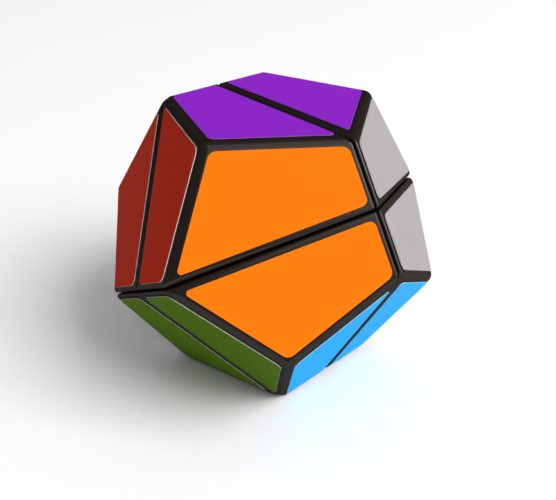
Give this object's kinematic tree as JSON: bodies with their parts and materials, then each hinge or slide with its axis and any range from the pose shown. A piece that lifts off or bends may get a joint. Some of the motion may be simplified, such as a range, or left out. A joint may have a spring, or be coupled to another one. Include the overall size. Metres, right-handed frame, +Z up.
{
  "type": "dodecahedron twisty puzzle",
  "caption": "Twelve-sided twisty puzzle cut by three flat planes, whose halves turn about a hidden sprung core.",
  "frame": {"origin": "on the surface that the puzzle stands on, under the centre of its bottom face", "axes": "+Z up, through the centres of the top and bottom faces; -Y towards the face whose cut runs from a point of the face to the middle of the opposite edge; +X to the right of that face"},
  "size_m": [0.0738, 0.0774, 0.064],
  "materials": {
    "black_plastic": "moulded plastic, satin, a warm black, with soft highlights along its rounded edges",
    "inner_plastic": "moulded plastic, matt, dark grey",
    "core_plastic": "moulded plastic, matt, off-white",
    "steel": "plated steel",
    "tile_orange": "thin vinyl tile, satin, with a paler cut edge",
    "tile_purple": "thin vinyl tile, satin, with a paler cut edge",
    "tile_red": "thin vinyl tile, satin, with a paler cut edge",
    "tile_grey": "thin vinyl tile, satin, with a paler cut edge",
    "tile_green": "thin vinyl tile, satin, with a paler cut edge",
    "tile_sky": "thin vinyl tile, satin, with a paler cut edge",
    "tile_yellow": "thin vinyl tile, satin, with a paler cut edge",
    "tile_pink": "thin vinyl tile, satin, with a paler cut edge",
    "tile_cream": "thin vinyl tile, satin, with a paler cut edge",
    "tile_white": "thin vinyl tile, satin, with a paler cut edge",
    "tile_lime": "thin vinyl tile, satin, with a paler cut edge",
    "tile_blue": "thin vinyl tile, satin, with a paler cut edge"
  },
  "bodies": {
    "anchored_corner": {"cap_right_back_lower": "black_plastic", "base_right_back_lower": "black_plastic", "tile_yellow_lower": "tile_yellow", "tile_pink_right": "tile_pink", "tile_cream_back": "tile_cream", "core": "core_plastic", "screw_left": "steel", "spring_left": "steel", "screw_front": "steel", "spring_front": "steel", "screw_upper": "steel", "spring_upper": "steel", "anchor_screw": "steel"},
    "left_corner": {"cap_left_back_lower": "black_plastic", "base_left_back_lower": "black_plastic", "tile_white_lower": "tile_white", "tile_pink_left": "tile_pink", "tile_green_back": "tile_green", "edge_left_back": "inner_plastic", "edge_left_lower": "inner_plastic", "centre_left": "inner_plastic"},
    "upper_corner": {"cap_right_back_upper": "black_plastic", "base_right_back_upper": "black_plastic", "tile_yellow_upper": "tile_yellow", "tile_blue_right": "tile_blue", "tile_lime_back": "tile_lime", "edge_back_upper": "inner_plastic", "edge_right_upper": "inner_plastic", "centre_upper": "inner_plastic"},
    "front_corner": {"cap_right_front_lower": "black_plastic", "base_right_front_lower": "black_plastic", "tile_grey_lower": "tile_grey", "tile_sky_right": "tile_sky", "tile_cream_front": "tile_cream", "edge_right_front": "inner_plastic", "edge_front_lower": "inner_plastic", "centre_front": "inner_plastic"},
    "left_upper_corner": {"cap_left_back_upper": "black_plastic", "base_left_back_upper": "black_plastic", "tile_white_upper": "tile_white", "tile_blue_left": "tile_blue", "tile_red_back": "tile_red", "edge_left_upper": "inner_plastic"},
    "left_front_corner": {"cap_left_front_lower": "black_plastic", "base_left_front_lower": "black_plastic", "tile_orange_lower": "tile_orange", "tile_sky_left": "tile_sky", "tile_green_front": "tile_green", "edge_left_front": "inner_plastic"},
    "front_upper_corner": {"cap_right_front_upper": "black_plastic", "base_right_front_upper": "black_plastic", "tile_grey_upper": "tile_grey", "tile_purple_right": "tile_purple", "tile_lime_front": "tile_lime", "edge_front_upper": "inner_plastic"},
    "left_front_upper_corner": {"cap_left_front_upper": "black_plastic", "base_left_front_upper": "black_plastic", "tile_orange_upper": "tile_orange", "tile_purple_left": "tile_purple", "tile_red_front": "tile_red"}
  },
  "joints": [
    {"name": "turn_left", "type": "hinge", "parent": "anchored_corner", "child": "left_corner", "pos_m": [0, 0, 0.032], "axis": [-0.809, -0.5878, 0], "range_deg": [-360, 360]},
    {"name": "turn_upper", "type": "hinge", "parent": "anchored_corner", "child": "upper_corner", "pos_m": [0, 0, 0.032], "axis": [-0.309, 0.4253, 0.8507], "continuous": true},
    {"name": "turn_front", "type": "hinge", "parent": "anchored_corner", "child": "front_corner", "pos_m": [0, 0, 0.032], "axis": [0.5, -0.6882, 0.5257], "range_deg": [-360, 360]},
    {"name": "upper_of_left", "type": "hinge", "parent": "left_corner", "child": "left_upper_corner", "pos_m": [0, 0, 0.032], "axis": [-0.309, 0.4253, 0.8507], "continuous": true},
    {"name": "front_of_left", "type": "hinge", "parent": "left_corner", "child": "left_front_corner", "pos_m": [0, 0, 0.032], "axis": [0.5, -0.6882, 0.5257], "range_deg": [-360, 360]},
    {"name": "front_of_upper", "type": "hinge", "parent": "upper_corner", "child": "front_upper_corner", "pos_m": [0, 0, 0.032], "axis": [0.5, -0.6882, 0.5257], "range_deg": [-360, 360]},
    {"name": "front_of_left_upper", "type": "hinge", "parent": "left_upper_corner", "child": "left_front_upper_corner", "pos_m": [0, 0, 0.032], "axis": [0.5, -0.6882, 0.5257], "range_deg": [-360, 360]}
  ],
  "couplings": [
    {"joint": "upper_of_left", "follows": "turn_upper", "ratio": 1},
    {"joint": "front_of_left", "follows": "turn_front", "ratio": 1},
    {"joint": "front_of_upper", "follows": "turn_front", "ratio": 1},
    {"joint": "front_of_left_upper", "follows": "turn_front", "ratio": 1}
  ]
}
